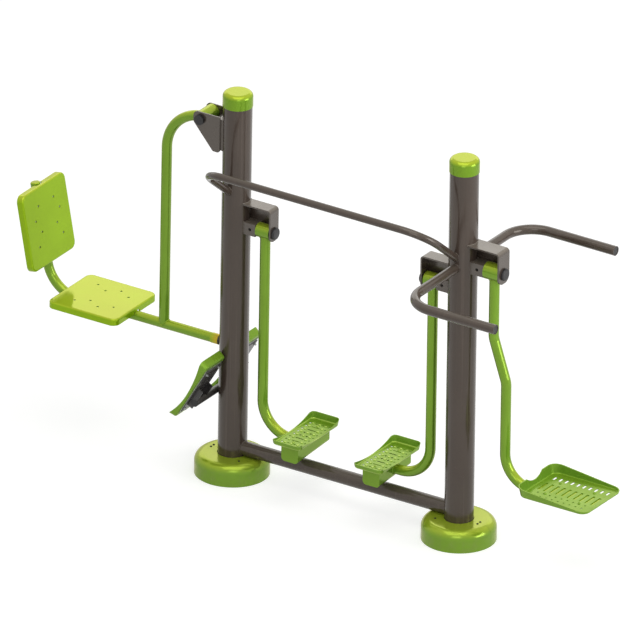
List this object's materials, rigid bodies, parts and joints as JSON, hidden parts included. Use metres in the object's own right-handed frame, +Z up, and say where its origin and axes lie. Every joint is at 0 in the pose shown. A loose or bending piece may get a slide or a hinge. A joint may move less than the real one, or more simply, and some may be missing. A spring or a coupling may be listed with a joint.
{
  "type": "outdoor air walker",
  "caption": "Outdoor fitness frame: round posts carry swinging walker legs with foot trays, a pendulum foot board, and a hanging seat pushed off from foot rests.",
  "frame": {"origin": "on the ground, on the axis of the left post (the one that carries the seat)", "axes": "+X from the left post to the right post, +Y away from the long handlebar, +Z up"},
  "size_m": [3.2249, 1.0916, 1.981],
  "materials": {
    "post_paint": "satin brown-grey paint",
    "green_paint": "semi-gloss green paint",
    "green_plastic": "moulded green plastic",
    "black_plastic": "matte black plastic",
    "gold_band": "yellow-gold moulded sleeve",
    "buffer_rubber": "dark rubber",
    "zinc_steel": "zinc-plated steel",
    "flange_steel": "dark primer",
    "bearing_steel": "ground steel",
    "dark_paint": "satin near-black paint"
  },
  "bodies": {
    "frame": {"post_left": "post_paint", "post_right": "post_paint", "post_cap_left": "green_plastic", "post_cap_right": "green_plastic", "base_flange_left": "flange_steel", "base_flange_right": "flange_steel", "ground_tube": "post_paint", "base_cover_left": "green_paint", "base_cover_right": "green_paint", "cover_screws": "zinc_steel", "handlebar": "post_paint", "side_handle_near": "post_paint", "side_handle_far": "post_paint", "handle_plugs": "black_plastic", "hood_left": "post_paint", "hood_right": "post_paint", "hood_swing": "post_paint", "axle_blocks": "post_paint", "hub_axles": "bearing_steel", "axle_nuts": "zinc_steel", "axle_caps": "black_plastic", "axle_set_screws": "zinc_steel", "axle_spacers": "zinc_steel", "press_gusset_near": "post_paint", "press_gusset_far": "post_paint", "press_saddle": "post_paint", "press_axle": "bearing_steel", "press_axle_caps": "black_plastic", "foot_rest_tube": "dark_paint", "foot_rest_tube_caps": "black_plastic", "foot_rest_near": "green_paint", "foot_rest_far": "green_paint", "foot_rest_plates": "zinc_steel", "foot_rest_brackets": "dark_paint", "foot_rest_bolts": "zinc_steel"},
    "walker_left": {"walker_leg_left": "green_paint", "walker_bearings_left": "bearing_steel", "walker_pedal_left": "green_paint", "pedal_bracket_left": "green_paint", "pedal_bolts_left": "zinc_steel"},
    "walker_right": {"walker_leg_right": "green_paint", "walker_bearings_right": "bearing_steel", "walker_pedal_right": "green_paint", "pedal_bracket_right": "green_paint", "pedal_bolts_right": "zinc_steel"},
    "pendulum": {"swing_leg": "green_paint", "swing_bearings": "bearing_steel", "swing_board": "green_paint", "board_carrier": "green_paint", "board_bolts": "zinc_steel"},
    "press": {"press_arm": "green_paint", "press_bearings": "bearing_steel", "seat_bar": "green_paint", "press_buffer": "buffer_rubber", "buffer_sleeve": "gold_band", "seat_bar_end_cap": "green_plastic", "seat_panel": "green_plastic", "back_panel": "green_plastic", "panel_plates": "green_paint", "panel_bolts": "zinc_steel"}
  },
  "joints": [
    {"name": "walker_left_swing", "type": "hinge", "parent": "frame", "child": "walker_left", "pos_m": [0.165, 0, 1.298], "axis": [1, 0, 0], "range_deg": [-45, 45]},
    {"name": "walker_right_swing", "type": "hinge", "parent": "frame", "child": "walker_right", "pos_m": [1.105, 0, 1.298], "axis": [1, 0, 0], "range_deg": [-45, 45]},
    {"name": "pendulum_swing", "type": "hinge", "parent": "frame", "child": "pendulum", "pos_m": [1.4476, 0, 1.432], "axis": [1, 0, 0], "range_deg": [-40, 40]},
    {"name": "press_swing", "type": "hinge", "parent": "frame", "child": "press", "pos_m": [-0.172, 0, 1.812], "axis": [0, 1, 0], "range_deg": [0, 35]}
  ]
}
